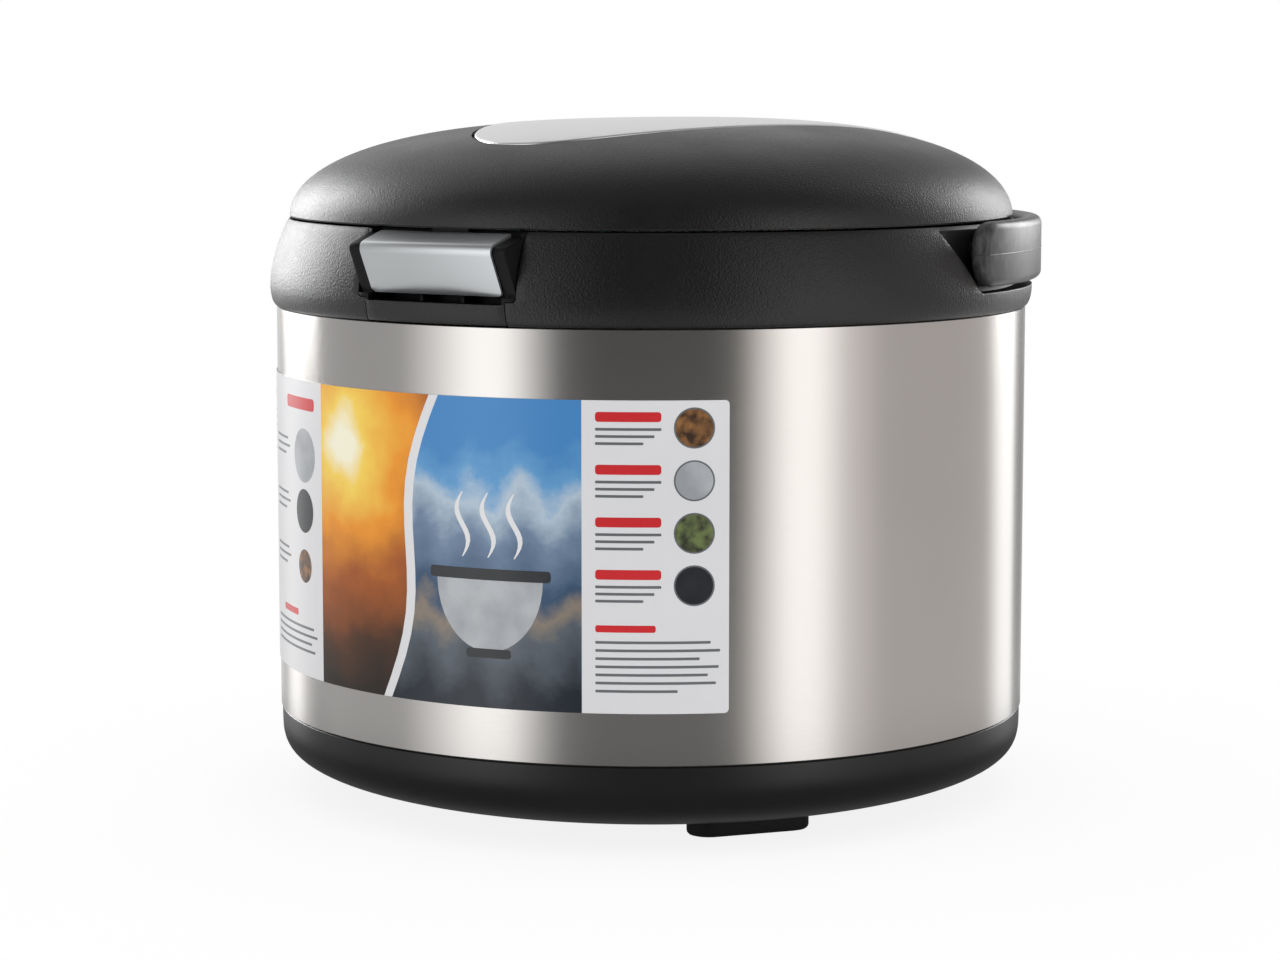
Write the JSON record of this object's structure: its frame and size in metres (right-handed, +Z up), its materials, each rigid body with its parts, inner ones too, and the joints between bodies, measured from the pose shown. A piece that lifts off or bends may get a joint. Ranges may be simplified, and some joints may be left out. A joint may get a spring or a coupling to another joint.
{
  "type": "thermal cooker",
  "caption": "Round insulated steel cooker with a hinged lid, front press latch, fold-back carrying handle and a lidded cooking pot inside.",
  "frame": {"origin": "centre of the flat underside of the base cover, on the axis of the round body", "axes": "+Z up along the axis of the body, -Y to the front where the latch is, +Y to the lid hinge, +X to the right seen from the front"},
  "size_m": [0.312, 0.3263, 0.2689],
  "materials": {
    "brushed_steel": "circumferentially brushed",
    "polished_steel": "polished stainless steel",
    "screw_steel": "plain steel",
    "textured_black": "fine moulded texture",
    "smooth_black": "satin moulded surface",
    "silver_paint": "satin silver",
    "white_plastic": "smooth",
    "silicone": "soft translucent grey",
    "foam": "foamed in place",
    "rubber": "matt",
    "printed_film": "printed film"
  },
  "bodies": {
    "cooker_body": {"base_cover": "smooth_black", "shell_floor": "screw_steel", "base_screw_1": "screw_steel", "base_screw_2": "screw_steel", "base_screw_3": "screw_steel", "base_screw_4": "screw_steel", "foot_front_right": "rubber", "foot_rear_right": "rubber", "foot_rear_left": "rubber", "foot_front_left": "rubber", "outer_shell": "brushed_steel", "inner_liner": "polished_steel", "insulation_foam": "foam", "inner_pot": "polished_steel", "pot_base_disc": "brushed_steel", "pot_handle_right": "polished_steel", "pot_handle_left": "polished_steel", "pot_lid": "polished_steel", "pot_lid_knob": "smooth_black", "pot_lid_screw": "screw_steel", "collar": "textured_black", "hinge_bracket": "textured_black", "hinge_pin": "screw_steel", "hinge_screw_left": "screw_steel", "hinge_screw_right": "screw_steel", "latch_housing": "textured_black", "latch_pin": "screw_steel", "latch_spring": "screw_steel", "handle_pivot_right": "screw_steel", "handle_pivot_left": "screw_steel", "label": "printed_film"},
    "lid": {"lid_cover": "textured_black", "lid_inlay": "silver_paint", "lid_insulation": "foam", "lid_inner_cover": "white_plastic", "lid_gasket": "silicone", "lid_catch": "screw_steel", "catch_screw_left": "screw_steel", "catch_screw_right": "screw_steel", "lid_screw_1": "screw_steel", "lid_screw_2": "screw_steel", "lid_screw_3": "screw_steel", "lid_screw_4": "screw_steel"},
    "latch": {"latch_lever": "smooth_black", "latch_cover": "silver_paint"},
    "handle": {"handle_bail": "smooth_black"}
  },
  "joints": [
    {"name": "lid_hinge", "type": "hinge", "parent": "cooker_body", "child": "lid", "pos_m": [0, 0.1463, 0.2305], "axis": [-1, 0, 0], "range_deg": [0, 95]},
    {"name": "handle_swing", "type": "hinge", "parent": "cooker_body", "child": "handle", "pos_m": [0, 0, 0.2122], "axis": [1, 0, 0], "range_deg": [0, 120]},
    {"name": "latch_press", "type": "hinge", "parent": "cooker_body", "child": "latch", "pos_m": [0, -0.151, 0.2153], "axis": [1, 0, 0], "range_deg": [0, 7], "stiffness_Nm_per_rad": 0.5, "springref_deg": -2.86, "deforming": ["latch_spring"]}
  ]
}
